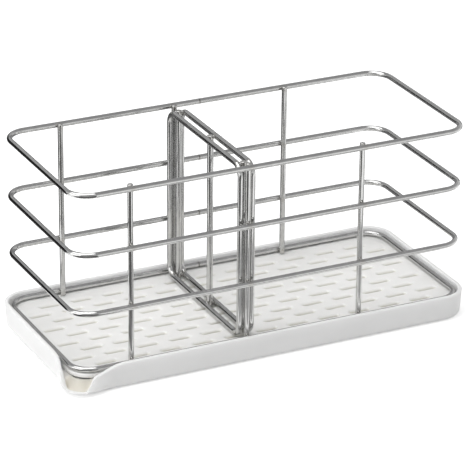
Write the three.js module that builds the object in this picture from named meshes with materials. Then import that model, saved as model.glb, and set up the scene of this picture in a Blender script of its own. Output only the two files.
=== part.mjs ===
// A sink sponge holder: a basket of welded round wire with a lift-out divider, standing in a
// moulded drip tray that has a slotted drain plate inside and a pouring lip at one corner.
// Millimetres, +Z up, +X along the length, -Y towards the user.
// The origin is the centre of the tray's underside.

import * as THREE from "three";

// Basket: four rounded rings of round wire, held by six uprights inside them
const RING_LENGTH = 200;            // between the centre lines of the short sides
const RING_DEPTH = 85.6;            // between the centre lines of the long sides
const RING_CORNER_RADIUS = 10.5;    // at the centre line
const RING_WIRE = 2.6;
const FIRST_RING_GAP = 27.7;        // base ring to lower ring
const RING_PITCH = 29;              // lower to upper, and upper to top
const UPRIGHT_WIRE = 2.6;
const LEFT_UPRIGHT_INSET = 27.9;    // from the rings' left end, centre to centre
const RIGHT_UPRIGHT_INSET = 54.5;   // from the rings' right end; the middle pair is halfway

// Divider: two wire loops either side of three straight bars
const LOOP_WIRE = 2.8;
const BAR_WIRE = 3;
const LOOP_CORNER_RADIUS = 5.5;
const DIVIDER_END_CLEARANCE = 1.8;  // from the loops' ends to the rings' inner side
const DIVIDER_TOP_DROP = 0.7;       // the loops' top wire below the top ring, centre to centre
const END_BAR_INSET = 3.3;          // from the loops' end wires to the outer bars
const BAR_END_SETBACK = 0.4;        // the bars' cut ends inside the loops' outer side

// Wire ends, welds and seats
const WIRE_END_CHAMFER = 0.3;
const WELD_GAP = 0.12;
const SEAT_GAP = 0.2;

// Tray
const TRAY_CLEARANCE = 0.5;         // round the base ring
const TRAY_WALL = 2;
const TRAY_FLOOR = 2;
const WELL_DEPTH = 5.1;             // from the floor up to the ledge under the plate
const RIM_ABOVE_PLATE = 3.9;
const CORNER_EASE = 1.3;            // the tray's corners are this much sharper than the basket's
const WALL_DRAFT = 0.6;
const INNER_DRAFT = 0.4;
const UNDERSIDE_FILLET = 3;
const FLOOR_FILLET = 1.5;
const RIM_ROUND = 0.6;
const LEDGE_WIDTH = 1.6;

// Pouring lip at the left front corner, measured along the rim from the middle of the corner.
// The rim climbs steeply beside the low stretch and then by a long, slow shoulder.
const LIP_FLAT = 3.6;               // half length of the low stretch
const LIP_RISE = 8.2;               // where the steep climb ends
const LIP_REACH = 24.5;             // where the rim is back at its full height
const SHOULDER_SHARE = 0.32;        // of the climb that is left to the shoulder
const LIP_SILL = 0.6;               // the lip's height above the floor
const LIP_BULGE = 4.2;              // how far the lip stands out of the corner
const LIP_BULGE_REACH = 20;
const UNDERSIDE_BULGE_SHARE = 0.3;
const WEIR_DROP = 0.7;              // the weir behind the lip lies this far below the ledge
const WEIR_BULGE_SHARE = 0.2;

// Drain plate
const PLATE_THICKNESS = 2;
const PLATE_CLEARANCE = 0.35;
const SLOT_LENGTH = 12.6;
const SLOT_WIDTH = 3.2;
const SLOT_PITCH = 16.4;
const SLOT_ROW_PITCH = 8.35;
const SLOTS_FORWARD = 1.5;          // the rows lie this much nearer the front edge
const PLATE_END_MARGIN = 4;
const PLATE_SIDE_MARGIN = 7;

// Facets
const WIRE_SIDES = 12;
const CORNER_STEPS = 6;
const TRAY_CORNER_STEPS = 8;
const LIP_CORNER_STEPS = 16;
const LIP_STRAIGHT_STEPS = 6;
const FILLET_STEPS = 4;
const ROUND_STEPS = 2;
const SLOT_END_STEPS = 4;

// Sizes that follow from those above
const LEDGE_Z = TRAY_FLOOR + WELL_DEPTH;
const PLATE_Z = LEDGE_Z + SEAT_GAP;
const PLATE_TOP = PLATE_Z + PLATE_THICKNESS;
const RIM_Z = PLATE_TOP + RIM_ABOVE_PLATE;
const LIP_Z = TRAY_FLOOR + LIP_SILL;
const RING_MARGIN = RING_WIRE / 2 + TRAY_CLEARANCE + TRAY_WALL;
const TRAY_LENGTH = RING_LENGTH + 2 * RING_MARGIN;
const TRAY_DEPTH = RING_DEPTH + 2 * RING_MARGIN;
const TRAY_CORNER_RADIUS = RING_CORNER_RADIUS + RING_MARGIN - CORNER_EASE;
const BASE_RING_Z = PLATE_TOP + SEAT_GAP + RING_WIRE / 2;
const LOWER_RING_Z = BASE_RING_Z + FIRST_RING_GAP;
const UPPER_RING_Z = LOWER_RING_Z + RING_PITCH;
const TOP_RING_Z = UPPER_RING_Z + RING_PITCH;
const LEFT_UPRIGHT_X = LEFT_UPRIGHT_INSET - RING_LENGTH / 2;
const RIGHT_UPRIGHT_X = RING_LENGTH / 2 - RIGHT_UPRIGHT_INSET;
const MIDDLE_UPRIGHT_X = (LEFT_UPRIGHT_X + RIGHT_UPRIGHT_X) / 2;
const UPRIGHT_Y = RING_DEPTH / 2 - RING_WIRE / 2 - WELD_GAP - UPRIGHT_WIRE / 2;
const UPRIGHT_BOTTOM = BASE_RING_Z - RING_WIRE / 2;
const UPRIGHT_TOP = TOP_RING_Z + RING_WIRE / 2;
const LOOP_X = BAR_WIRE / 2 + WELD_GAP + LOOP_WIRE / 2;
const LOOP_DEPTH = RING_DEPTH - RING_WIRE - LOOP_WIRE - 2 * DIVIDER_END_CLEARANCE;
const LOOP_BOTTOM_Z = PLATE_TOP + SEAT_GAP + LOOP_WIRE / 2;
const LOOP_TOP_Z = TOP_RING_Z - DIVIDER_TOP_DROP;
const LOOP_HEIGHT = LOOP_TOP_Z - LOOP_BOTTOM_Z;
const BAR_BOTTOM = LOOP_BOTTOM_Z - LOOP_WIRE / 2 + BAR_END_SETBACK;
const BAR_TOP = LOOP_TOP_Z + LOOP_WIRE / 2 - BAR_END_SETBACK;
const END_BAR_Y = LOOP_DEPTH / 2 - END_BAR_INSET;

const QUARTER_TURN = Math.PI / 2;
const CORNER_SIGNS = [[1, 1], [-1, 1], [-1, -1], [1, -1]];

const steel = () => new THREE.MeshStandardMaterial({ color: 0xc6c6c4, metalness: 1, roughness: 0.2 });
const trayWhite = () => new THREE.MeshStandardMaterial({ color: 0xf1f1ef, roughness: 0.35 });
const plateWhite = () => new THREE.MeshStandardMaterial({ color: 0xeeede9, roughness: 0.45 });

function named(name, geometry, material, x = 0, y = 0, z = 0) {
  const mesh = new THREE.Mesh(geometry, material);
  mesh.name = name;
  mesh.position.set(x, y, z);
  return mesh;
}

// The stations of a rounded rectangle, anticlockwise. Each has the centre that its corner turns
// round and the direction out of it, so an outline at any inset is centre + out * (radius - inset).
function cornerStations(length, depth, radius, steps) {
  return CORNER_SIGNS.flatMap(([sideX, sideY], corner) =>
    Array.from({ length: steps + 1 }, (_, step) => {
      const angle = (corner + step / steps) * QUARTER_TURN;
      return {
        centreX: sideX * (length / 2 - radius),
        centreY: sideY * (depth / 2 - radius),
        outX: Math.cos(angle),
        outY: Math.sin(angle),
      };
    }));
}

function stationPoint(station, radius, z) {
  return new THREE.Vector3(
    station.centreX + station.outX * radius,
    station.centreY + station.outY * radius,
    z);
}

// Joins loops of equally many points into one skin. A ring's last loop meets its first one;
// any other skin is closed by a flat cap at each end.
function skin(loops, isRing) {
  const count = loops[0].length;
  const positions = loops.flat().flatMap((point) => point.toArray());
  const index = [];
  const bands = isRing ? loops.length : loops.length - 1;
  for (let band = 0; band < bands; band += 1) {
    const low = band * count;
    const high = ((band + 1) % loops.length) * count;
    for (let k = 0; k < count; k += 1) {
      const next = (k + 1) % count;
      index.push(low + k, low + next, high + next);
      index.push(low + k, high + next, high + k);
    }
  }
  if (!isRing) {
    const flat = (loop) => loop.map((point) => new THREE.Vector2(point.x, point.y));
    for (const [a, b, c] of THREE.ShapeUtils.triangulateShape(flat(loops[0]), [])) {
      index.push(c, b, a);
    }
    const last = (loops.length - 1) * count;
    for (const [a, b, c] of THREE.ShapeUtils.triangulateShape(flat(loops.at(-1)), [])) {
      index.push(last + a, last + b, last + c);
    }
  }
  const geometry = new THREE.BufferGeometry();
  geometry.setAttribute("position", new THREE.Float32BufferAttribute(positions, 3));
  geometry.setIndex(index);
  geometry.computeVertexNormals();
  return geometry;
}

// A rounded rectangle of round wire lying flat, its centre line at z = 0
function wireLoop(length, depth, radius, wire) {
  const stations = cornerStations(length, depth, radius, CORNER_STEPS);
  const loops = Array.from({ length: WIRE_SIDES }, (_, side) => {
    const angle = side / WIRE_SIDES * 4 * QUARTER_TURN;
    const reach = radius + wire / 2 * Math.cos(angle);
    return stations.map((station) => stationPoint(station, reach, wire / 2 * Math.sin(angle)));
  });
  return skin(loops, true);
}

// A straight vertical wire between two heights, its cut ends chamfered
function straightWire(bottom, top, wire) {
  const radius = wire / 2;
  const profile = [
    new THREE.Vector2(0, bottom),
    new THREE.Vector2(radius - WIRE_END_CHAMFER, bottom),
    new THREE.Vector2(radius, bottom + WIRE_END_CHAMFER),
    new THREE.Vector2(radius, top - WIRE_END_CHAMFER),
    new THREE.Vector2(radius - WIRE_END_CHAMFER, top),
    new THREE.Vector2(0, top),
  ];
  const geometry = new THREE.LatheGeometry(profile, WIRE_SIDES);
  geometry.rotateX(QUARTER_TURN);
  return geometry;
}

function basket() {
  const group = new THREE.Group();
  const rings = [
    ["base_ring", BASE_RING_Z],
    ["lower_ring", LOWER_RING_Z],
    ["upper_ring", UPPER_RING_Z],
    ["top_ring", TOP_RING_Z],
  ];
  for (const [name, z] of rings) {
    const geometry = wireLoop(RING_LENGTH, RING_DEPTH, RING_CORNER_RADIUS, RING_WIRE);
    group.add(named(name, geometry, steel(), 0, 0, z));
  }
  const columns = [
    ["left", LEFT_UPRIGHT_X],
    ["centre", MIDDLE_UPRIGHT_X],
    ["right", RIGHT_UPRIGHT_X],
  ];
  for (const [row, side] of [["front", -1], ["back", 1]]) {
    for (const [column, x] of columns) {
      const geometry = straightWire(UPRIGHT_BOTTOM, UPRIGHT_TOP, UPRIGHT_WIRE);
      group.add(named(`upright_${row}_${column}`, geometry, steel(), x, side * UPRIGHT_Y));
    }
  }
  return group;
}

// The loops stand across the basket and pass either side of the middle uprights
function divider() {
  const group = new THREE.Group();
  group.position.x = MIDDLE_UPRIGHT_X;
  const alongY = new THREE.Vector3(0, 1, 0);
  const alongZ = new THREE.Vector3(0, 0, 1);
  const alongX = new THREE.Vector3(1, 0, 0);
  const stand = new THREE.Matrix4().makeBasis(alongY, alongZ, alongX);
  for (const [name, side] of [["divider_loop_left", -1], ["divider_loop_right", 1]]) {
    const geometry = wireLoop(LOOP_DEPTH, LOOP_HEIGHT, LOOP_CORNER_RADIUS, LOOP_WIRE);
    geometry.applyMatrix4(stand);
    group.add(named(name, geometry, steel(), side * LOOP_X, 0, (LOOP_BOTTOM_Z + LOOP_TOP_Z) / 2));
  }
  for (const [name, side] of [["front", -1], ["middle", 0], ["back", 1]]) {
    const geometry = straightWire(BAR_BOTTOM, BAR_TOP, BAR_WIRE);
    group.add(named(`divider_bar_${name}`, geometry, steel(), 0, side * END_BAR_Y));
  }
  return group;
}

// The tray's stations, with the distance along the rim from the middle of the pouring corner.
// That corner has more steps, and a few stations on the straight walls beside it.
function trayStations() {
  const halfArc = TRAY_CORNER_RADIUS * QUARTER_TURN / 2;
  const plain = cornerStations(TRAY_LENGTH, TRAY_DEPTH, TRAY_CORNER_RADIUS, TRAY_CORNER_STEPS)
    .map((station) => ({ ...station, run: LIP_REACH }));
  const lipCorner = cornerStations(TRAY_LENGTH, TRAY_DEPTH, TRAY_CORNER_RADIUS, LIP_CORNER_STEPS)
    .filter((station) => station.centreX < 0 && station.centreY < 0)
    .map((station, step) => ({ ...station, run: halfArc * (2 * step / LIP_CORNER_STEPS - 1) }));
  const straight = Math.max(LIP_REACH - halfArc, LIP_SILL);
  const beside = (station, turnX, turnY, share) => ({
    ...station,
    centreX: station.centreX + turnX * straight * share,
    centreY: station.centreY + turnY * straight * share,
    run: halfArc + straight * share,
  });
  const shares = Array.from({ length: LIP_STRAIGHT_STEPS }, (_, k) => (k + 1) / LIP_STRAIGHT_STEPS);
  const before = shares.map((share) => beside(lipCorner[0], 0, 1, share)).reverse();
  const after = shares.map((share) => beside(lipCorner.at(-1), 1, 0, share));
  const left = plain.filter((station) => !(station.centreX < 0 && station.centreY < 0));
  const upTo = left.filter((station) => station.centreY > 0);
  const from = left.filter((station) => station.centreY < 0);
  return [...upTo, ...before, ...lipCorner, ...after, ...from];
}

// The tray's section as [inset, height, share of the lip's bulge], from the underside up the
// outside, over the rounded rim and down the inside to the floor. A fourth value marks the points
// that don't sink with the wall at the lip: they drop by it, and so leave a weir that slopes down
// to the lip and keeps the water in the well until the tray is tipped.
function traySection() {
  const section = [];
  const outside = WALL_DRAFT + UNDERSIDE_FILLET;
  for (let step = 0; step <= FILLET_STEPS; step += 1) {
    const angle = step / FILLET_STEPS * QUARTER_TURN;
    section.push([
      outside - UNDERSIDE_FILLET * Math.sin(angle),
      UNDERSIDE_FILLET * (1 - Math.cos(angle)),
      THREE.MathUtils.lerp(UNDERSIDE_BULGE_SHARE, 1, step / FILLET_STEPS),
    ]);
  }
  for (let step = 0; step <= ROUND_STEPS; step += 1) {
    const angle = step / ROUND_STEPS * QUARTER_TURN;
    section.push([
      RIM_ROUND * (1 - Math.cos(angle)),
      RIM_Z - RIM_ROUND * (1 - Math.sin(angle)),
      1,
    ]);
  }
  for (let step = 0; step <= ROUND_STEPS; step += 1) {
    const angle = step / ROUND_STEPS * QUARTER_TURN;
    section.push([
      TRAY_WALL - RIM_ROUND * (1 - Math.sin(angle)),
      RIM_Z - RIM_ROUND * (1 - Math.cos(angle)),
      1,
    ]);
  }
  const inside = TRAY_WALL + INNER_DRAFT;
  const well = inside + LEDGE_WIDTH;
  section.push([inside, LEDGE_Z, 1]);
  section.push([well, LEDGE_Z, WEIR_BULGE_SHARE, WEIR_DROP]);
  for (let step = 0; step <= FILLET_STEPS; step += 1) {
    const angle = step / FILLET_STEPS * QUARTER_TURN;
    section.push([
      well + FLOOR_FILLET * (1 - Math.cos(angle)),
      TRAY_FLOOR + FLOOR_FILLET * (1 - Math.sin(angle)),
      WEIR_BULGE_SHARE,
      0,
    ]);
  }
  return section;
}

// Above the floor every height is drawn down to the lip's sill by the same share, so the wall and
// rim sink together into the mouth of the lip, and the corner bulges out round it.
function tray() {
  const stations = trayStations();
  const loops = traySection().map(([inset, height, bulgeShare, drop]) =>
    stations.map((station) => {
      const run = Math.abs(station.run);
      const raised = THREE.MathUtils.lerp(
        THREE.MathUtils.smoothstep(run, LIP_FLAT, LIP_RISE),
        THREE.MathUtils.smoothstep(run, LIP_FLAT, LIP_REACH),
        SHOULDER_SHARE);
      const rimHere = THREE.MathUtils.lerp(LIP_Z, RIM_Z, raised);
      const sink = (rimHere - TRAY_FLOOR) / (RIM_Z - TRAY_FLOOR);
      const sunk = height > TRAY_FLOOR ? TRAY_FLOOR + (height - TRAY_FLOOR) * sink : height;
      const z = drop === undefined ? sunk : height - drop * (1 - raised);
      const bulge = LIP_BULGE * (1 - THREE.MathUtils.smoothstep(run, 0, LIP_BULGE_REACH));
      return stationPoint(station, TRAY_CORNER_RADIUS - inset + bulge * bulgeShare, z);
    }));
  return named("drip_tray", skin(loops, false), trayWhite());
}

function slotOutline(x, y) {
  const radius = SLOT_WIDTH / 2;
  const reach = SLOT_LENGTH / 2 - radius;
  const points = [];
  for (const side of [1, -1]) {
    for (let step = 0; step <= SLOT_END_STEPS; step += 1) {
      const angle = (2 * step / SLOT_END_STEPS - 1) * QUARTER_TURN;
      points.push(new THREE.Vector2(
        x + side * (reach + radius * Math.cos(angle)),
        y + side * radius * Math.sin(angle)));
    }
  }
  return new THREE.Path(points);
}

// A flat plate with rows of slots, each row moved along by half a pitch from the one before
function drainPlate() {
  const inset = TRAY_WALL + INNER_DRAFT + PLATE_CLEARANCE;
  const length = TRAY_LENGTH - 2 * inset;
  const depth = TRAY_DEPTH - 2 * inset;
  const radius = TRAY_CORNER_RADIUS - inset;
  const outline = cornerStations(length, depth, radius, TRAY_CORNER_STEPS)
    .map((station) => stationPoint(station, radius, 0));
  const shape = new THREE.Shape(outline.map((point) => new THREE.Vector2(point.x, point.y)));
  const reachX = length / 2 - PLATE_END_MARGIN - SLOT_LENGTH / 2;
  const reachY = depth / 2 - PLATE_SIDE_MARGIN - SLOT_WIDTH / 2 - SLOTS_FORWARD;
  const rows = Math.floor(reachY / SLOT_ROW_PITCH);
  for (let row = -rows; row <= rows; row += 1) {
    const shift = row % 2 === 0 ? 0 : SLOT_PITCH / 2;
    const columns = Math.floor((reachX - shift) / SLOT_PITCH);
    const first = shift === 0 ? -columns : -columns - 1;
    for (let column = first; column <= columns; column += 1) {
      const y = row * SLOT_ROW_PITCH - SLOTS_FORWARD;
      shape.holes.push(slotOutline(column * SLOT_PITCH + shift, y));
    }
  }
  const geometry = new THREE.ExtrudeGeometry(shape, { depth: PLATE_THICKNESS, bevelEnabled: false });
  return named("drain_plate", geometry, plateWhite(), 0, 0, PLATE_Z);
}

const holder = new THREE.Group();
holder.add(tray(), drainPlate(), basket(), divider());

export default holder;
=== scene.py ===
"""The looks of a sink sponge holder: polished wire basket, lift-out wire divider, white drip tray
with a pouring lip and a slotted drain plate, on a pale floor in soft studio light."""

import math

import bmesh
import bpy
import numpy as np
from mathutils import Matrix, Vector
from mathutils.geometry import delaunay_2d_cdt


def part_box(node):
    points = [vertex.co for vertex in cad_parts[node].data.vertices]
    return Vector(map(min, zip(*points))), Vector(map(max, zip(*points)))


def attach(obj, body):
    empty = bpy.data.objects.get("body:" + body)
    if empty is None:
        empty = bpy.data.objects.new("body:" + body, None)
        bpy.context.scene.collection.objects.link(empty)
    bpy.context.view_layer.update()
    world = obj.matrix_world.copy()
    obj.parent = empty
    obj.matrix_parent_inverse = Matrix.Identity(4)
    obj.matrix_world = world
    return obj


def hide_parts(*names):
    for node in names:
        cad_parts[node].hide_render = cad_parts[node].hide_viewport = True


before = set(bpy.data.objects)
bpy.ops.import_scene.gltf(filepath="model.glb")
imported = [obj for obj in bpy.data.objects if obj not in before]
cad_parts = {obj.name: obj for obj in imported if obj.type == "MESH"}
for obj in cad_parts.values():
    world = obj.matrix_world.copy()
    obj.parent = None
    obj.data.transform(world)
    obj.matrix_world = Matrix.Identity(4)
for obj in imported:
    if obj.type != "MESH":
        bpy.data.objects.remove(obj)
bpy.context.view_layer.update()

MM = 0.001

# Camera, from the photograph's straight wires
VIEW_AZIMUTH = math.radians(-26.17)
VIEW_ELEVATION = math.radians(23.68)
VIEW_ROLL = math.radians(0.53)
VIEW_DISTANCE = 1.4082
VIEW_TARGET = Vector((-0.0001, 0.0, 0.0437))
VIEW_LENS = 227.55                  # in millimetres, as the sensor is
VIEW_SENSOR = 36.0
VIEW_REACH = 10.0

# Corners that the frame's boxes don't tell, as in the part's own sizes
RING_CORNER = 10.5 * MM
LOOP_CORNER = 5.5 * MM
TRAY_CORNER = 13.0 * MM

# Tray section
TRAY_WALL = 2.0 * MM
TRAY_FLOOR = 2.0 * MM
WELL_DEPTH = 5.1 * MM
LEDGE_WIDTH = 1.6 * MM
OUTER_DRAFT = 0.6 * MM
INNER_DRAFT = 0.4 * MM
UNDERSIDE_FILLET = 3.0 * MM
FLOOR_FILLET = 1.5 * MM
LEDGE_EASE = 0.35 * MM              # rounds the ledge's two edges
RIM_ROUND = 0.7 * MM
RIM_STEP = 1.2 * MM                 # between the columns of points round the rim

# Rows of points on each stretch of the tray's section
UNDERSIDE_ROWS = 10
OUTER_WALL_ROWS = 8
RIM_ROWS = 8
INNER_WALL_ROWS = 7
EASE_ROWS = 4
LEDGE_ROWS = 14
WELL_ROWS = 8

# Pouring lip, measured along the rim from the middle of the left front corner
LIP_FLAT = 3.6 * MM
LIP_RISE = 8.2 * MM
LIP_REACH = 24.5 * MM
SHOULDER_SHARE = 0.32
LIP_SILL = 0.6 * MM
LIP_BULGE = 4.18 * MM
LIP_BULGE_REACH = 20.0 * MM
UNDERSIDE_BULGE_SHARE = 0.3
WEIR_DROP = 0.45 * MM               # its crest lies this far below the ledge
WEIR_BULGE_SHARE = 0.2
WEIR_CURVE = 1.3                    # above 1, the ledge keeps to the sunken wall's level longer

# Drain plate
PLATE_CLEARANCE = 0.35 * MM
PLATE_EDGE_ROUND = 0.35 * MM
PLATE_EDGE_ROWS = 4
PLATE_RIM_POINTS = 260
SLOT_POINTS = 20
SLOT_LENGTH = 10.6 * MM             # at the throat
SLOT_WIDTH = 1.3 * MM
SLOT_END_SHARE = 0.999              # of half the width, so that the ends keep a hair of straight
SLOT_MOUTH = 1.9 * MM               # how far the rounded mouth lies outside the throat
SLOT_MOUTH_DEPTH = 1.6 * MM
SLOT_MOUTH_ROWS = 9
SLOTS_FORWARD = 1.0 * MM            # the rows lie this much nearer the front edge
SLOT_PITCH = 16.4 * MM
SLOT_ROW_PITCH = 8.35 * MM
SLOT_COLUMNS = 5
SLOT_ROWS = 4

# Wires
WIRE_SIDES = 28
LOOP_STEP = 0.9 * MM                # between the columns of points round a loop
UPRIGHT_ROWS = 90
CUT_ROUND = 0.35 * MM               # at the cut ends
CUT_FACE_SHARES = (0.0, 0.45, 0.85)  # rows of points on a cut face, as shares of its radius

# Welds
SEAM_PLACE = 1.0 * MM               # from the middle of a ring's back side
LOOP_SEAM_PLACE = 8.0 * MM          # from the middle of a divider loop's foot
SEAM_WIDTH = 0.35 * MM
SEAM_RISE_SHARE = 0.05
SEAM_TINT_REACH = 1.6 * SEAM_WIDTH
BEAD_RADIUS = 0.95 * MM
BEAD_THICKNESS = 0.7 * MM
BEAD_RIPPLE = 0.08
TINT_REACH = 2.0 * MM
HEAT_TINT = 0.5                     # a crossing's tint, where a butt weld's is 1

# How far light spreads inside the plastic, alike for all colours
TRAY_SPREAD = 3.5 * MM
PLATE_SPREAD = 1.0 * MM
SPREAD_SHARE = 0.7
EVEN_SPREAD = (1.0, 1.0, 1.0)

# Studio. A lamp is its place, its aim and its two sizes in metres, and its power in watts
LEFT_SOFTBOX = ((-0.9, -0.15, 0.35), (0, 0, 0.03), (0.8, 0.8), 2.2)
TOP_SOFTBOX = ((-0.25, 0.0, 1.0), (0, 0, 0.0), (0.9, 0.9), 6.9)
WORLD_LIGHT = 0.51
FLOOR_GLOW = 0.46
FLOOR_REACH = 3.0
TENT_RADIUS = 2.0
SWEEP_PROFILE = ((0.062, 0.0006), (0.5, 0.0006), (0.56, 0.03), (0.6, 0.34))
SWEEP_REACH = 0.9

# Dark cards in front of the holder and left of it: grey, and the four corners in metres
CARDS = {
    "front_flag": (0.14, ((-0.32, -0.09, 0.0005), (-0.06, -0.10, 0.0005),
                          (0.04, -0.60, 0.13), (-0.55, -0.45, 0.13))),
    "corner_flag": (0.05, ((-0.30, -0.025, 0.0006), (-0.112, -0.025, 0.0006),
                           (-0.106, -0.060, 0.0006), (-0.22, -0.095, 0.0006))),
    "near_flag": (0.32, ((-0.30, -0.056, 0.0004), (-0.062, -0.056, 0.0004),
                         (-0.062, -0.101, 0.0004), (-0.30, -0.101, 0.0004))),
    "front_card": (0.5, ((-0.06, -0.075, 0.0004), (0.30, -0.075, 0.0004),
                         (0.30, -0.17, 0.0004), (-0.04, -0.17, 0.0004))),
}

RINGS = ("base_ring", "lower_ring", "upper_ring", "top_ring")
UPRIGHTS = tuple(f"upright_{row}_{column}" for row in ("front", "back")
                 for column in ("left", "centre", "right"))
LOOPS = ("divider_loop_left", "divider_loop_right")
BARS = ("divider_bar_front", "divider_bar_middle", "divider_bar_back")


class Wire:
    """A shader socket with arithmetic: an expression on values adds its Math nodes."""

    def __init__(self, tree, socket):
        self.tree = tree
        self.socket = socket

    def maths(self, operation, *values):
        return self.tree.node("ShaderNodeMath", {"operation": operation}, *values)

    def __add__(self, other):
        return self.maths("ADD", self, other)

    def __radd__(self, other):
        return self.maths("ADD", other, self)

    def __sub__(self, other):
        return self.maths("SUBTRACT", self, other)

    def __rsub__(self, other):
        return self.maths("SUBTRACT", other, self)

    def __mul__(self, other):
        return self.maths("MULTIPLY", self, other)

    def __rmul__(self, other):
        return self.maths("MULTIPLY", other, self)

    def __truediv__(self, other):
        return self.maths("DIVIDE", self, other)

    def most(self, other):
        return self.maths("MAXIMUM", self, other)

    def smooth(self, low, high):
        """0 below low, 1 above high, eased between."""
        eased = {"interpolation_type": "SMOOTHSTEP"}
        return self.tree.node("ShaderNodeMapRange", eased, self, low, high)


class Finish:
    """One node tree under construction. Its nodes come from the method node."""

    def __init__(self, tree):
        self.tree = tree
        self.tree.nodes.clear()

    def node(self, kind, settings=None, *values, out=0, **named):
        """Adds a node: its settings first, then its sockets by order or by name."""
        node = self.tree.nodes.new(kind)
        for name, value in (settings or {}).items():
            setattr(node, name, value)
        for place, value in enumerate(values):
            self.put(node.inputs[place], value)
        for name, value in named.items():
            self.put(node.inputs[name.replace("_", " ")], value)
        return Wire(self, node.outputs[out]) if node.outputs else node

    def put(self, socket, value):
        """Links a Wire to the socket, or writes a plain value into it."""
        if isinstance(value, Wire):
            self.tree.links.new(value.socket, socket)
        else:
            socket.default_value = value

    def places(self, scale=(1.0, 1.0, 1.0), source="Object"):
        """Coordinates of the surface, stretched by scale."""
        here = self.node("ShaderNodeTexCoord", out=source)
        return self.node("ShaderNodeMapping", {}, Vector=here, Scale=scale)

    def noise(self, where, scale, detail=2.0, rough=0.5):
        """Cloudy values from 0 to 1, finer with a higher scale."""
        return self.node("ShaderNodeTexNoise", {}, Vector=where, Scale=scale, Detail=detail,
                         Roughness=rough)

    def mix(self, share, first, second):
        """A colour between first and second."""
        node = self.tree.nodes.new("ShaderNodeMix")
        node.data_type = "RGBA"
        self.put(node.inputs[0], share)
        self.put(node.inputs[6], first)
        self.put(node.inputs[7], second)
        return Wire(self, node.outputs[2])

    def bump(self, height, distance, strength=1.0):
        return self.node("ShaderNodeBump", {}, Height=height, Distance=distance, Strength=strength)

    def surface(self, **sockets):
        """Ends the tree in one Principled surface."""
        shader = self.node("ShaderNodeBsdfPrincipled", {}, **sockets)
        self.node("ShaderNodeOutputMaterial", {}, Surface=shader)


def new_finish(name):
    """A material and the Finish that builds its nodes."""
    material = bpy.data.materials.new(name)
    material.use_nodes = True
    return material, Finish(material.node_tree)


def rgb(red, green, blue):
    return (red, green, blue, 1.0)


def polished_wire():
    """Drawn stainless wire, polished: faint lines along its length, soft blotches, and a greyer,
    duller skin where the tint attribute marks a weld."""
    material, f = new_finish("polished_wire")
    along = f.places(scale=(60.0, 900.0, 1.0), source="UV")
    lines = f.noise(along, 1.0, 3.0, 0.6)
    blotch = f.noise(f.places(), 260.0, 2.0)
    pits = f.noise(f.places(), 2600.0, 1.0)
    tint = f.node("ShaderNodeAttribute", {"attribute_name": "tint"}, out="Fac")
    clean = f.mix(blotch.smooth(0.35, 0.7), rgb(0.56, 0.56, 0.555), rgb(0.62, 0.62, 0.612))
    warm = f.mix(tint.smooth(0.1, 0.6), clean, rgb(0.52, 0.51, 0.49))
    colour = f.mix(tint.smooth(0.65, 1.0), warm, rgb(0.20, 0.198, 0.19))
    rough = 0.06 + 0.05 * lines + 0.03 * blotch + 0.14 * tint
    height = 0.6 * lines + 0.4 * pits
    f.surface(Base_Color=colour, Metallic=1.0, Roughness=rough,
              Normal=f.bump(height, 0.000012, 0.3))
    return material


def weld_metal():
    """Small beads of melted steel: duller and darker than the wire, with a wrinkled skin."""
    material, f = new_finish("weld_metal")
    wrinkle = f.noise(f.places(), 1500.0, 3.0, 0.6)
    colour = f.mix(wrinkle.smooth(0.3, 0.7), rgb(0.42, 0.415, 0.405), rgb(0.56, 0.557, 0.55))
    f.surface(Base_Color=colour, Metallic=1.0, Roughness=0.26 + 0.14 * wrinkle,
              Normal=f.bump(wrinkle, 0.00006, 0.7))
    return material


def tray_plastic():
    """Moulded white plastic, satin to glossy, with faint flow marks and a fine skin texture. The tint
    attribute marks the inside of the lip, where painted shade makes the plastic darker and creamier."""
    material, f = new_finish("tray_plastic")
    flow = f.noise(f.places((1.0, 1.6, 3.0)), 22.0, 3.0, 0.55)
    grain = f.noise(f.places(), 2400.0, 2.0, 0.6)
    waves = f.noise(f.places(), 70.0, 2.0)
    clean = f.mix(flow.smooth(0.3, 0.7), rgb(0.85, 0.85, 0.845), rgb(0.88, 0.88, 0.875))
    # Painted shade: the inside of the lip is drawn darker and creamier than the clean plastic.
    lip = f.node("ShaderNodeAttribute", {"attribute_name": "tint"}, out="Fac")
    colour = f.mix(lip.smooth(0.02, 0.5), clean, rgb(0.68, 0.65, 0.575))
    height = 0.35 * grain + 1.2 * waves
    f.surface(Base_Color=colour, Roughness=0.30 + 0.08 * flow + 0.05 * grain,
              Subsurface_Weight=SPREAD_SHARE, Subsurface_Radius=EVEN_SPREAD,
              Subsurface_Scale=TRAY_SPREAD,
              Normal=f.bump(height, 0.00003, 0.5))
    return material


def plate_plastic():
    """Moulded white plastic of the drain plate, a touch warmer and more satin than the tray. The tint
    attribute marks the slots' walls, where painted shade makes them darker and creamier."""
    material, f = new_finish("plate_plastic")
    flow = f.noise(f.places((1.0, 2.2, 1.0)), 30.0, 3.0, 0.55)
    grain = f.noise(f.places(), 2100.0, 2.0, 0.6)
    scuffs = f.noise(f.places((1.0, 9.0, 1.0)), 90.0, 3.0, 0.65)
    clean = f.mix(flow.smooth(0.3, 0.7), rgb(0.845, 0.841, 0.825), rgb(0.875, 0.871, 0.858))
    # Painted shade: the slots' walls grow darker and creamier the deeper they go.
    wall = f.node("ShaderNodeAttribute", {"attribute_name": "tint"}, out="Fac")
    colour = f.mix(wall.smooth(0.05, 0.6), clean, rgb(0.85, 0.835, 0.78))
    rough = 0.30 + 0.08 * flow + 0.10 * scuffs.smooth(0.5, 0.8)
    f.surface(Base_Color=colour, Roughness=rough,
              Subsurface_Weight=SPREAD_SHARE, Subsurface_Radius=EVEN_SPREAD,
              Subsurface_Scale=PLATE_SPREAD,
              Normal=f.bump(grain + 0.6 * scuffs, 0.00003, 0.5))
    return material


def new_object(name, data):
    """An object for the data, in the scene."""
    thing = bpy.data.objects.new(name, data)
    bpy.context.scene.collection.objects.link(thing)
    return thing


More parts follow.
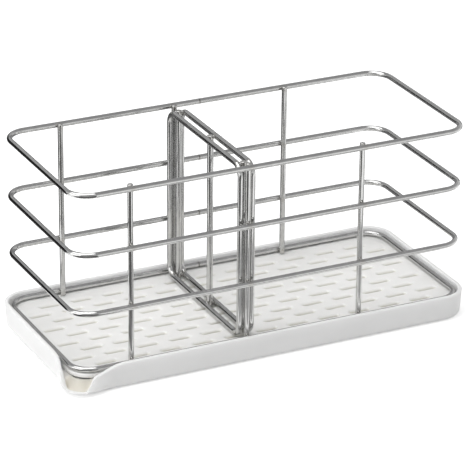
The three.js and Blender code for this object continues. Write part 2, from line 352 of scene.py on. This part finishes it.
def new_mesh(name, points, faces):
    mesh = bpy.data.meshes.new(name)
    mesh.from_pydata(np.reshape(points, (-1, 3)).tolist(), [], faces)
    return mesh


def box_of(node):
    """The low and the high corner of a node's box, as arrays."""
    low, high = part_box(node)
    return np.array(low), np.array(high)


def middle_of(node):
    low, high = box_of(node)
    return (low + high) / 2


def full_turn(steps):
    """Angles round a circle in even steps. The last one lies a step before the first."""
    return np.arange(steps) / steps * 2 * math.pi


def mesh_piece(name, points, faces, material, body, replaced=(), loop_uv=None, tint=None):
    """A mesh object in place, smooth, riding on its body. loop_uv holds the UV of each face's
    corners and tint one value per point."""
    mesh = new_mesh(name, points, faces)
    mesh.polygons.foreach_set("use_smooth", np.ones(len(mesh.polygons), bool))
    if loop_uv is not None:
        layer = mesh.uv_layers.new(name="UVMap")
        layer.data.foreach_set("uv", loop_uv.astype(np.float32).ravel())
    if tint is not None:
        attribute = mesh.attributes.new("tint", "FLOAT", "POINT")
        attribute.data.foreach_set("value", tint.astype(np.float32).ravel())
    mesh.materials.append(material)
    mesh.update()
    piece = new_object(name, mesh)
    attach(piece, body)
    if replaced:
        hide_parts(*replaced)
    return piece


def grid_faces(rows, columns, rows_close, columns_close):
    """Quads between neighbouring points of a rows by columns grid, wrapping where it closes."""
    row = np.arange(rows if rows_close else rows - 1)[:, None]
    column = np.arange(columns if columns_close else columns - 1)[None, :]
    next_row = (row + 1) % rows
    next_column = (column + 1) % columns
    quad = (row * columns + column, row * columns + next_column,
            next_row * columns + next_column, next_row * columns + column)
    return np.stack(np.broadcast_arrays(*quad), axis=-1).reshape(-1, 4)


def fan(tip, first, count):
    """Triangles from one point to each neighbouring pair of a ring's points."""
    ring = first + np.arange(count)
    return np.stack([np.full(count, tip), ring, np.roll(ring, -1)], -1)


def grid_uv(rows, columns, row_values, column_values):
    """The UV of each quad's corners, where row_values and column_values hold one value more than
    there are quads, so the seam doesn't run backwards."""
    row = np.arange(rows)[:, None]
    column = np.arange(columns)[None, :]
    u = [column_values[column + c] + 0 * row for c in (0, 1, 1, 0)]
    v = [row_values[row + r] + 0 * column for r in (0, 0, 1, 1)]
    return np.stack([np.stack(u, -1), np.stack(v, -1)], -1).reshape(-1, 2)


def rounded_outline(half_long, half_short, radius, runs):
    """The point one radius inside a rounded rectangle's outline and the outward direction, for runs
    anticlockwise from the middle of its +long end. The outline is the point plus the radius times
    the direction: on a straight the point moves, and on a quarter circle the direction turns."""
    straight_long = 2 * (half_long - radius)
    straight_short = 2 * (half_short - radius)
    arc = radius * math.pi / 2
    lengths = np.array([straight_short / 2, arc, straight_long, arc, straight_short, arc,
                        straight_long, arc, straight_short / 2])
    starts = np.concatenate([[0.0], np.cumsum(lengths)[:-1]])
    runs = np.mod(runs, lengths.sum())
    stretch = np.searchsorted(starts, runs, side="right") - 1
    into = runs - starts[stretch]
    turning = stretch % 2 == 1
    quarter = (stretch + 1) // 2 - np.where(turning, 1, 0)
    angle = (quarter + np.where(turning, into / arc, 0.0)) * math.pi / 2
    out = np.stack([np.cos(angle), np.sin(angle)], -1)
    cx, cy = half_long - radius, half_short - radius
    centres = np.array([[cx, 0.0], [cx, cy], [cx, cy], [-cx, cy], [-cx, cy], [-cx, -cy],
                        [-cx, -cy], [cx, -cy], [cx, -cy]])
    along = np.stack([-out[:, 1], out[:, 0]], -1)
    return centres[stretch] + along * np.where(turning, 0.0, into)[:, None], out


def outline_length(half_long, half_short, radius):
    """The whole run round a rounded rectangle: its four straights and four quarter circles."""
    return 4 * (half_long + half_short - 2 * radius) + 2 * math.pi * radius


def uneven_runs(length, step, place, reach, close_step):
    """Runs round a loop at an even step, with close ones up to a reach from one place."""
    even = np.linspace(0, length, int(length / step), endpoint=False)
    close = place + np.arange(-reach, reach, close_step)
    return np.unique(np.round(np.mod(np.concatenate([even, close]), length), 7))


def run_between(runs, place, length):
    """The signed way along a closed loop from a place to each run, the shorter way round."""
    return np.mod(runs - place + length / 2, length) - length / 2


def wire_loop(name, node, body, long_axis, short_axis, corner, seam, weld_runs, material):
    """A closed loop of round wire that stands for its node. The surface is the loop's centre line
    plus the wire's radius times cos a outwards and sin a along the loop's axis; the radius swells
    a little at the butt weld, which is at the run seam. The tint is highest at the welds and fades
    along the wire."""
    low, high = box_of(node)
    axes = np.eye(3)
    flat_axis = 3 - long_axis - short_axis
    wire_radius = (high - low)[flat_axis] / 2
    half_long = (high - low)[long_axis] / 2 - wire_radius
    half_short = (high - low)[short_axis] / 2 - wire_radius
    length = outline_length(half_long, half_short, corner)
    runs = uneven_runs(length, LOOP_STEP, seam, 3 * SEAM_WIDTH, SEAM_WIDTH / 4)
    centre, out = rounded_outline(half_long, half_short, corner, runs)
    centre = centre + out * corner
    away = run_between(runs, seam, length)
    swell = 1 + SEAM_RISE_SHARE * np.exp(-(away / SEAM_WIDTH) ** 2)
    angle = full_turn(WIRE_SIDES)
    wide = wire_radius * swell * np.cos(angle)[:, None]
    tall = wire_radius * np.sin(angle)[:, None] + 0 * wide
    plane = centre[None] + out[None] * wide[..., None]
    points = (plane[..., :1] * axes[long_axis] + plane[..., 1:] * axes[short_axis]
              + tall[..., None] * axes[flat_axis] + middle_of(node))
    from_weld = np.abs(run_between(runs[:, None], weld_runs, length))
    heat = HEAT_TINT * np.exp(-(from_weld.min(axis=1) / TINT_REACH) ** 2)
    heat = np.maximum(heat, np.exp(-(away / SEAM_TINT_REACH) ** 2))
    tint = np.broadcast_to(heat, points.shape[:2])
    uv = grid_uv(WIRE_SIDES, len(runs), np.append(angle, 2 * math.pi) * wire_radius,
                 np.append(runs, length))
    faces = grid_faces(WIRE_SIDES, len(runs), True, True)
    mesh_piece(name, points, faces.tolist(), material, body, (node,), uv, tint)


def straight_wire(name, node, body, weld_heights, material):
    """An upright wire that stands for its node: a circle of the wire's radius at each height, drawn
    in to a rounded cut at both ends, where the radius follows a quarter circle."""
    low, high = box_of(node)
    radius = (high - low)[0] / 2
    turn = np.linspace(0, math.pi / 2, 6)
    face_reach = np.array(CUT_FACE_SHARES) * (radius - CUT_ROUND)
    reach = np.concatenate([face_reach, radius - CUT_ROUND + CUT_ROUND * np.sin(turn)])
    rise = np.concatenate([0 * face_reach, CUT_ROUND * (1 - np.cos(turn))])
    body_heights = np.linspace(low[2] + CUT_ROUND, high[2] - CUT_ROUND, UPRIGHT_ROWS)[1:-1]
    heights = np.concatenate([low[2] + rise, body_heights, high[2] - rise[::-1]])
    radii = np.concatenate([reach, np.full(len(body_heights), radius), reach[::-1]])
    angle = full_turn(WIRE_SIDES)
    ring = np.stack([np.cos(angle), np.sin(angle)], -1)
    points = np.empty((len(heights), WIRE_SIDES, 3))
    points[..., :2] = middle_of(node)[:2] + radii[:, None, None] * ring
    points[..., 2] = heights[:, None]
    away = np.abs(heights[:, None] - np.array(weld_heights)).min(axis=1)
    heat = HEAT_TINT * np.exp(-(away / TINT_REACH) ** 2)
    tint = np.broadcast_to(heat[:, None], points.shape[:2])
    uv = grid_uv(len(heights) - 1, WIRE_SIDES, heights, np.append(angle, 2 * math.pi) * radius)
    faces = grid_faces(len(heights), WIRE_SIDES, False, True)
    piece = mesh_piece(name, points, faces.tolist(), material, body, (node,),
                       uv[:, ::-1], tint)
    close_poles(piece)


def close_poles(piece):
    """Merges the points that meet at the ends' centres."""
    merged = bmesh.new()
    merged.from_mesh(piece.data)
    bmesh.ops.remove_doubles(merged, verts=merged.verts, dist=1e-7)
    merged.to_mesh(piece.data)
    merged.free()


def weld_beads(name, centres, across, body, material):
    """One small bead at each crossing: a ball of the bead's radius, thinner along the axis across,
    its radius rippled by a product of two sines whose phase goes on from bead to bead."""
    rows, columns = 9, 14
    polar = np.linspace(0, math.pi, rows)[1:-1][:, None]
    turn = full_turn(columns)[None, :]
    ball = np.stack([np.sin(polar) * np.cos(turn), np.sin(polar) * np.sin(turn),
                     np.cos(polar) + 0 * turn], -1)
    count = len(centres)
    phase = np.arange(count)[:, None, None]
    ripple = 1 + BEAD_RIPPLE * np.sin(3 * turn + 1.7 * phase) * np.sin(2 * polar + phase)
    sizes = np.full(3, BEAD_RADIUS)
    sizes[across] = BEAD_THICKNESS
    block = (rows - 2) * columns
    balls = (ball[None] * ripple[..., None]).reshape(count, block, 3)
    poles = np.broadcast_to([[0, 0, 1], [0, 0, -1]], (count, 2, 3))
    points = centres[:, None] + np.concatenate([balls, poles], axis=1) * sizes
    band = grid_faces(rows - 2, columns, False, True)[:, ::-1]
    ends = np.concatenate([fan(block, 0, columns),
                           fan(block + 1, block - columns, columns)[:, ::-1]])
    first_points = (block + 2) * np.arange(count)[:, None, None]
    faces = [face for part in (band, ends)
             for face in (first_points + part).reshape(-1, part.shape[1]).tolist()]
    mesh_piece(name, points, faces, material, body)


def quarter(start, end, steps, hollow):
    """Points of a quarter ellipse from start to end, as columns of inset and height. A hollow one
    leaves its start along the height, the other one along the inset."""
    turn = np.linspace(0, math.pi / 2, steps)
    slow, fast = 1 - np.cos(turn), np.sin(turn)
    share = np.stack([slow, fast] if hollow else [fast, slow], -1)
    return np.array(start) + (np.array(end) - np.array(start)) * share


def tray_section(rim):
    """The tray's section as rows of inset, height, share of the lip's bulge, share of the weir and
    share of the lip's painted shade. It goes from the underside round its fillet, up the drafted wall,
    over the rounded rim, down to the ledge, into the well and onto the floor. The ledge's rows pass
    from the wall to the weir."""
    ledge = TRAY_FLOOR + WELL_DEPTH
    inside = TRAY_WALL + INNER_DRAFT
    well = inside + LEDGE_WIDTH
    foot = OUTER_DRAFT + UNDERSIDE_FILLET
    eased = ledge + LEDGE_EASE
    outside = np.concatenate([
        quarter((foot, 0.0), (OUTER_DRAFT, UNDERSIDE_FILLET), UNDERSIDE_ROWS, False),
        np.linspace((OUTER_DRAFT, UNDERSIDE_FILLET), (0.0, rim - RIM_ROUND), OUTER_WALL_ROWS)[1:-1],
        quarter((0.0, rim - RIM_ROUND), (RIM_ROUND, rim), RIM_ROWS, True),
    ])
    inner_wall = np.concatenate([
        quarter((TRAY_WALL - RIM_ROUND, rim), (TRAY_WALL, rim - RIM_ROUND), RIM_ROWS, False),
        np.linspace((TRAY_WALL, rim - RIM_ROUND), (inside, eased), INNER_WALL_ROWS)[1:-1],
        quarter((inside, eased), (inside + LEDGE_EASE, ledge), EASE_ROWS, True),
    ])
    shelf = np.linspace((inside + LEDGE_EASE, ledge), (well - LEDGE_EASE, ledge), LEDGE_ROWS)[1:-1]
    weir = np.concatenate([
        quarter((well - LEDGE_EASE, ledge), (well, ledge - LEDGE_EASE), EASE_ROWS, False),
        quarter((well, TRAY_FLOOR + FLOOR_FILLET), (well + FLOOR_FILLET, TRAY_FLOOR), WELL_ROWS, True),
    ])
    rising = np.clip(outside[:, 1] / UNDERSIDE_FILLET, 0, 1)
    over = (np.arange(len(shelf)) + 1) / (len(shelf) + 1)
    bulge_share = np.concatenate([
        UNDERSIDE_BULGE_SHARE + (1 - UNDERSIDE_BULGE_SHARE) * rising, np.ones(len(inner_wall)),
        1 - (1 - WEIR_BULGE_SHARE) * over, np.full(len(weir), WEIR_BULGE_SHARE)])
    weir_share = np.concatenate([
        np.zeros(len(outside) + len(inner_wall)), over ** WEIR_CURVE, np.ones(len(weir))])
    # Painted shade inside the lip: none on the outside, rising up the inner wall, full on the ledge,
    # fading down the weir.
    lip_shade_share = np.concatenate([
        np.zeros(len(outside)), np.linspace(0, 0.5, len(inner_wall)),
        np.ones(len(shelf)), np.linspace(1, 0, len(weir))])
    rows = np.concatenate([outside, inner_wall, shelf, weir])
    return np.column_stack([rows, bulge_share, weir_share, lip_shade_share])


def smoothstep(value, low, high):
    """0 below low, 1 above high, and 3 t squared less 2 t cubed between."""
    t = np.clip((value - low) / (high - low), 0, 1)
    return t * t * (3 - 2 * t)


def drip_tray(material):
    """The tray as a skin of two parameters, the run along the rim and the place on its section:
    outline centre plus outward direction times corner radius less inset. About the pouring corner
    the wall's heights above the floor sink by one share and the corner bulges outwards, while the
    ledge stays as a weir that slopes down to the lip."""
    low, high = box_of("drain_plate")
    half = (high - low) / 2 + TRAY_WALL + INNER_DRAFT + PLATE_CLEARANCE
    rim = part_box("drip_tray")[1].z
    length = outline_length(half[0], half[1], TRAY_CORNER)
    # From the left end's middle, the pouring corner is half a straight and half an arc away
    corner_run = length / 2 + half[1] - TRAY_CORNER + TRAY_CORNER * math.pi / 4
    runs = uneven_runs(length, RIM_STEP, corner_run, 1.3 * LIP_REACH, RIM_STEP / 3)
    centre, out = rounded_outline(half[0], half[1], TRAY_CORNER, runs)
    away = np.abs(run_between(runs, corner_run, length))
    climb = ((1 - SHOULDER_SHARE) * smoothstep(away, LIP_FLAT, LIP_RISE)
             + SHOULDER_SHARE * smoothstep(away, LIP_FLAT, LIP_REACH))
    rim_here = LIP_SILL + TRAY_FLOOR + (rim - LIP_SILL - TRAY_FLOOR) * climb
    sink = (rim_here - TRAY_FLOOR) / (rim - TRAY_FLOOR)
    bulge = LIP_BULGE * (1 - smoothstep(away, 0, LIP_BULGE_REACH))
    insets, heights, bulge_share, weir_share, lip_shade_share = tray_section(rim).T[..., None]
    reach = TRAY_CORNER - insets + bulge * bulge_share
    plane = centre[None] + out[None] * reach[..., None]
    above = np.maximum(heights - TRAY_FLOOR, 0)
    sunk = heights + above * (sink - 1)
    crest = np.clip((above - FLOOR_FILLET) / (WELL_DEPTH - FLOOR_FILLET), 0, 1)
    kept = heights - WEIR_DROP * crest * (1 - climb)
    lifted = sunk + (kept - sunk) * weir_share
    points = np.concatenate([plane, lifted[..., None]], -1)
    rows, columns = points.shape[:2]
    block = rows * columns
    walls = grid_faces(rows, columns, False, True)
    underside = fan(block, 0, columns)[:, ::-1]
    floor = fan(block + 1, block - columns, columns)
    middles = [[0, 0, 0], [0, 0, TRAY_FLOOR]]
    # Painted shade, kept to the sunken pouring corner where the rim has not yet climbed.
    painted_lip_shade = np.append(lip_shade_share * (1 - climb), [0.0, 0.0])
    mesh_piece("tray_shell", np.concatenate([points.reshape(-1, 3), middles]),
               walls.tolist() + underside.tolist() + floor.tolist(), material,
               "tray", ("drip_tray",), tint=painted_lip_shade)


def edge_profile(thickness):
    """Rows of inset and height of the plate's edge, from the top face round a small quarter
    circle, down the side and round again to the underside."""
    r = PLATE_EDGE_ROUND
    return np.concatenate([
        quarter((r, thickness), (0.0, thickness - r), PLATE_EDGE_ROWS, False),
        quarter((0.0, r), (r, 0.0), PLATE_EDGE_ROWS, True),
    ])


def slot_profile(thickness):
    """Rows of distance outside the throat and height of a slot's wall, from the top face down a
    wide quarter ellipse into the throat, and round a small quarter circle to the underside."""
    r = PLATE_EDGE_ROUND
    return np.concatenate([
        quarter((SLOT_MOUTH, thickness), (0.0, thickness - SLOT_MOUTH_DEPTH), SLOT_MOUTH_ROWS, False),
        quarter((0.0, r), (r, 0.0), PLATE_EDGE_ROWS, True),
    ])


def carried_round(profile, half, corner, side, steps):
    """A profile carried round a rounded rectangle of the given half sizes: the outline's centres
    plus the outward direction times the corner's radius and the profile's distance, which counts
    outwards where side is 1 and inwards where it is -1."""
    runs = np.linspace(0, outline_length(half[0], half[1], corner), steps, endpoint=False)
    centre, out = rounded_outline(half[0], half[1], corner, runs)
    reach = corner + side * profile[:, :1]
    plane = centre[None] + out[None] * reach[..., None]
    heights = np.broadcast_to(profile[:, 1, None, None], plane.shape[:2] + (1,))
    return np.concatenate([plane, heights], -1)


def slot_centres():
    """Rows of slots, every other row moved along by half a pitch."""
    rows = np.arange(-SLOT_ROWS, SLOT_ROWS + 1)
    columns = np.arange(-SLOT_COLUMNS - 1, SLOT_COLUMNS + 1)
    row, column = (a.ravel() for a in np.meshgrid(rows, columns, indexing="ij"))
    shift = np.where(row % 2 == 0, 0.0, 0.5)
    kept = (row % 2 != 0) | (column >= -SLOT_COLUMNS)
    return np.stack([(column + shift) * SLOT_PITCH, row * SLOT_ROW_PITCH - SLOTS_FORWARD], -1)[kept]


def drain_plate(material):
    """The plate as edge walls and two flat faces. Each wall carries the edge profile round an
    outline, outwards on the plate's rim and into the plate round each slot; the flat faces fill
    what lies between the walls' first and last rows."""
    low, high = box_of("drain_plate")
    thickness = high[2] - low[2]
    half = (high - low)[:2] / 2
    corner = TRAY_CORNER - (TRAY_WALL + INNER_DRAFT + PLATE_CLEARANCE)
    edge = edge_profile(thickness)
    mouth = slot_profile(thickness)
    slots = slot_centres()
    rim_points = carried_round(edge, half, corner, -1, PLATE_RIM_POINTS)
    slot_half = (SLOT_LENGTH / 2, SLOT_WIDTH / 2)
    one_slot = carried_round(mouth, slot_half, SLOT_END_SHARE * slot_half[1], 1, SLOT_POINTS)
    slot_points = one_slot[None] + np.column_stack([slots, np.zeros(len(slots))])[:, None, None]
    rim_faces = grid_faces(len(edge), PLATE_RIM_POINTS, False, True)[:, ::-1]
    wall = grid_faces(len(mouth), SLOT_POINTS, False, True)
    block = len(mouth) * SLOT_POINTS
    offset = len(edge) * PLATE_RIM_POINTS
    first_points = offset + block * np.arange(len(slots))
    slot_faces = (wall + first_points[:, None, None]).reshape(-1, 4)
    points = np.concatenate([rim_points.reshape(-1, 3), slot_points.reshape(-1, 3)])
    points[:, 2] += low[2]
    faces = rim_faces.tolist() + slot_faces.tolist()
    for rim_row, slot_row, top in ((0, 0, True), (len(edge) - 1, len(mouth) - 1, False)):
        rim_ids = rim_row * PLATE_RIM_POINTS + np.arange(PLATE_RIM_POINTS)
        slot_ids = first_points[:, None] + slot_row * SLOT_POINTS + np.arange(SLOT_POINTS)
        faces += flat_fill(points, rim_ids, slot_ids, top)
    # Painted shade in the slots, growing with the depth below the top face.
    depth = np.repeat(1 - mouth[:, 1] / thickness, SLOT_POINTS)
    in_slot = np.concatenate([np.zeros(offset), np.tile(depth, len(slots))])
    mesh_piece("slotted_plate", points, faces, material, "plate",
               ("drain_plate",), tint=in_slot)


def flat_fill(points, rim_ids, slot_ids, upwards):
    """Triangles that fill the flat region inside the rim's outline and outside the slots: of the
    triangles between all the outlines' points, those with all corners on one slot are left out."""
    slots, slot_count = slot_ids.shape
    ids = np.concatenate([rim_ids, slot_ids.ravel()])
    owner = np.concatenate([np.full(len(rim_ids), -1), np.repeat(np.arange(slots), slot_count)])
    holes = (len(rim_ids) + np.arange(slots * slot_count).reshape(slots, slot_count))[:, ::-1]
    loops = [list(range(len(rim_ids)))] + holes.tolist()
    flat = [Vector(point) for point in points[ids, :2].tolist()]
    result = delaunay_2d_cdt(flat, [], loops, 0, 1e-9)
    source = np.array([origin[0] for origin in result[3]])
    triangles = source[np.array(result[2])]
    owners = owner[triangles]
    in_slot = (owners[:, 0] >= 0) & (owners == owners[:, :1]).all(axis=1)
    kept = ids[triangles[~in_slot]]
    a, b, c = (points[kept[:, k], :2] for k in range(3))
    ab, ac = b - a, c - a
    wrong = (ab[:, 0] * ac[:, 1] > ab[:, 1] * ac[:, 0]) != upwards
    kept[wrong] = kept[wrong][:, ::-1]
    return kept.tolist()


def camera():
    """A long lens at the photograph's angle: azimuth 0 looks along +Y."""
    data = bpy.data.cameras.new("camera")
    data.lens = VIEW_LENS
    data.sensor_width = VIEW_SENSOR
    data.clip_end = VIEW_REACH
    holder = new_object("camera", data)
    forward = Vector((-math.sin(VIEW_AZIMUTH) * math.cos(VIEW_ELEVATION),
                      math.cos(VIEW_AZIMUTH) * math.cos(VIEW_ELEVATION),
                      -math.sin(VIEW_ELEVATION)))
    turn = forward.to_track_quat("-Z", "Y").to_matrix().to_4x4()
    roll = Matrix.Rotation(VIEW_ROLL, 4, "Z")
    holder.matrix_world = Matrix.Translation(VIEW_TARGET - forward * VIEW_DISTANCE) @ turn @ roll
    bpy.context.scene.camera = holder


def softbox(name, place, aim, size, watts):
    data = bpy.data.lights.new(name, "AREA")
    data.shape = "RECTANGLE"
    data.size, data.size_y = size
    data.energy = watts
    lamp = new_object(name, data)
    lamp.location = place
    lamp.rotation_euler = (Vector(aim) - Vector(place)).to_track_quat("-Z", "Y").to_euler()


def unseen(name, mesh, colour_of):
    """A studio surface that only reflections see, as polished metal needs something to mirror.
    colour_of gives its colour from the Finish that is built for it."""
    material, f = new_finish(name)
    f.node("ShaderNodeOutputMaterial", {},
           Surface=f.node("ShaderNodeEmission", {}, Color=colour_of(f), Strength=1.0))
    mesh.materials.append(material)
    card = new_object(name, mesh)
    card.visible_camera = False
    card.visible_diffuse = False
    card.visible_transmission = False
    card.visible_volume_scatter = False
    card.visible_shadow = False


def light_tent():
    """A round tent over the table: the half sphere radius times (cos a cos b, sin a cos b, sin b).
    Its cloth is white at the foot and grey overhead."""
    rows, columns = 24, 48
    rise = np.linspace(0, math.pi / 2, rows)[:-1, None]
    turn = full_turn(columns)[None, :]
    dome = np.stack([np.cos(turn) * np.cos(rise), np.sin(turn) * np.cos(rise),
                     np.sin(rise) + 0 * turn], -1).reshape(-1, 3)
    points = TENT_RADIUS * np.concatenate([dome, [[0, 0, 1]]])
    walls = grid_faces(rows - 1, columns, False, True)
    cap = fan(len(dome), len(dome) - columns, columns)

    def cloth(f):
        height = f.node("ShaderNodeSeparateXYZ", {}, f.places(), out=2) / TENT_RADIUS
        return f.mix(height.smooth(0.0, 0.78), rgb(0.88, 0.88, 0.88), rgb(0.39, 0.39, 0.395))

    unseen("light_tent", new_mesh("light_tent", points, walls.tolist() + cap.tolist()), cloth)


def dark_sweep():
    """A dark backdrop behind the holder: straight across, and along y by a profile that lies on
    the floor and then stands up. It is black at the left and grey at the right."""
    profile = np.array(SWEEP_PROFILE)
    points = np.empty((len(profile), 2, 3))
    points[..., 0] = (-SWEEP_REACH, SWEEP_REACH)
    points[..., 1:] = profile[:, None]
    faces = grid_faces(len(profile), 2, False, False)

    def cloth(f):
        side = f.node("ShaderNodeSeparateXYZ", {}, f.places(), out=0)
        return f.mix(side.smooth(-0.30, 0.10), rgb(0.015, 0.015, 0.015), rgb(0.27, 0.27, 0.275))

    unseen("dark_sweep", new_mesh("dark_sweep", points, faces.tolist()), cloth)


def dark_card(name, grey, card_corners):
    unseen(name, new_mesh(name, card_corners, [(0, 1, 2, 3)]), lambda f: rgb(grey, grey, grey))


def looked_at(f):
    """1 where the camera looks, also by way of a reflection or through something clear, 0 where
    diffuse light is gathered."""
    camera_ray, glossy_ray, clear_ray = (f.node("ShaderNodeLightPath", out=f"Is {kind} Ray")
                                         for kind in ("Camera", "Glossy", "Transmission"))
    return camera_ray.most(glossy_ray).most(clear_ray)


def pale_floor():
    """A wide matt square with a glow that only looking sees, so it stays as pale as the photo's."""
    square = FLOOR_REACH * np.array([(-1, -1, 0), (1, -1, 0), (1, 1, 0), (-1, 1, 0)])
    mesh = new_mesh("pale_floor", square, [(0, 1, 2, 3)])
    material, f = new_finish("pale_floor")
    speck = f.noise(f.places(), 40.0, 2.0)
    matt = f.node("ShaderNodeBsdfDiffuse", {},
                  Color=f.mix(speck, rgb(0.81, 0.81, 0.81), rgb(0.83, 0.83, 0.83)))
    glow = f.node("ShaderNodeEmission", {}, Color=rgb(1, 1, 1), Strength=FLOOR_GLOW * looked_at(f))
    f.node("ShaderNodeOutputMaterial", {}, Surface=f.node("ShaderNodeAddShader", {}, matt, glow))
    mesh.materials.append(material)
    new_object("pale_floor", mesh)


def studio():
    """A white world, soft boxes left and above, a tent and dark cards for the metal to mirror, and
    a pale floor."""
    world = bpy.data.worlds.new("studio_air")
    bpy.context.scene.world = world
    world.use_nodes = True
    f = Finish(world.node_tree)
    strength = WORLD_LIGHT + (1 - WORLD_LIGHT) * looked_at(f)
    air = f.node("ShaderNodeBackground", {}, Color=rgb(1, 1, 1), Strength=strength)
    f.node("ShaderNodeOutputWorld", {}, Surface=air)
    softbox("left_softbox", *LEFT_SOFTBOX)
    softbox("top_softbox", *TOP_SOFTBOX)
    light_tent()
    dark_sweep()
    for name, (grey, card_corners) in CARDS.items():
        dark_card(name, grey, card_corners)
    pale_floor()


def build_basket(wire, weld):
    """Four rings with six uprights inside them, and a bead at each crossing. The middles of a
    ring's back and front side lie a quarter and three quarters of the way round; its butt weld is
    in the back side."""
    low, high = box_of("top_ring")
    wire_radius = (high - low)[2] / 2
    half_long, half_short = (high - low)[:2] / 2 - wire_radius
    length = outline_length(half_long, half_short, RING_CORNER)
    places = np.array([middle_of(node)[:2] for node in UPRIGHTS])
    heights = [middle_of(node)[2] for node in RINGS]
    crossings = np.concatenate([length / 4 - places[places[:, 1] > 0, 0],
                                length * 3 / 4 + places[places[:, 1] < 0, 0]])
    for node in RINGS:
        wire_loop(node.replace("ring", "hoop"), node, "basket", 0, 1, RING_CORNER,
                  length / 4 - SEAM_PLACE, crossings, wire)
    for node in UPRIGHTS:
        straight_wire(node.replace("upright", "post"), node, "basket", heights, wire)
    beads = np.array([[x, (y + math.copysign(half_short, y)) / 2, z]
                      for x, y in places for z in heights])
    weld_beads("basket_welds", beads, 1, "basket", weld)


def build_divider(wire, weld):
    """Two loops with three bars between them, and a bead at each crossing. The middles of a loop's
    top and foot lie a quarter and three quarters of the way round; its butt weld is in the foot."""
    low, high = box_of(LOOPS[0])
    wire_radius = (high - low)[0] / 2
    half_long, half_short = (high - low)[1:] / 2 - wire_radius
    length = outline_length(half_long, half_short, LOOP_CORNER)
    ends = (low[2] + wire_radius, high[2] - wire_radius)
    bar_ys = np.array([middle_of(node)[1] for node in BARS])
    crossings = np.concatenate([length / 4 - bar_ys, length * 3 / 4 + bar_ys])
    for node in LOOPS:
        wire_loop(node + "_wire", node, "divider", 1, 2, LOOP_CORNER,
                  length * 3 / 4 + LOOP_SEAM_PLACE, crossings, wire)
    for node in BARS:
        straight_wire(node + "_wire", node, "divider", ends, wire)
    bead_xs = [(middle_of(BARS[0])[0] + middle_of(node)[0]) / 2 for node in LOOPS]
    beads = np.array([[x, y, z] for x in bead_xs for y in bar_ys for z in ends])
    weld_beads("divider_welds", beads, 0, "divider", weld)


camera()
studio()
wire_finish = polished_wire()
weld_finish = weld_metal()
build_basket(wire_finish, weld_finish)
build_divider(wire_finish, weld_finish)
drip_tray(tray_plastic())
drain_plate(plate_plastic())

bpy.context.scene.view_settings.view_transform = "Standard"
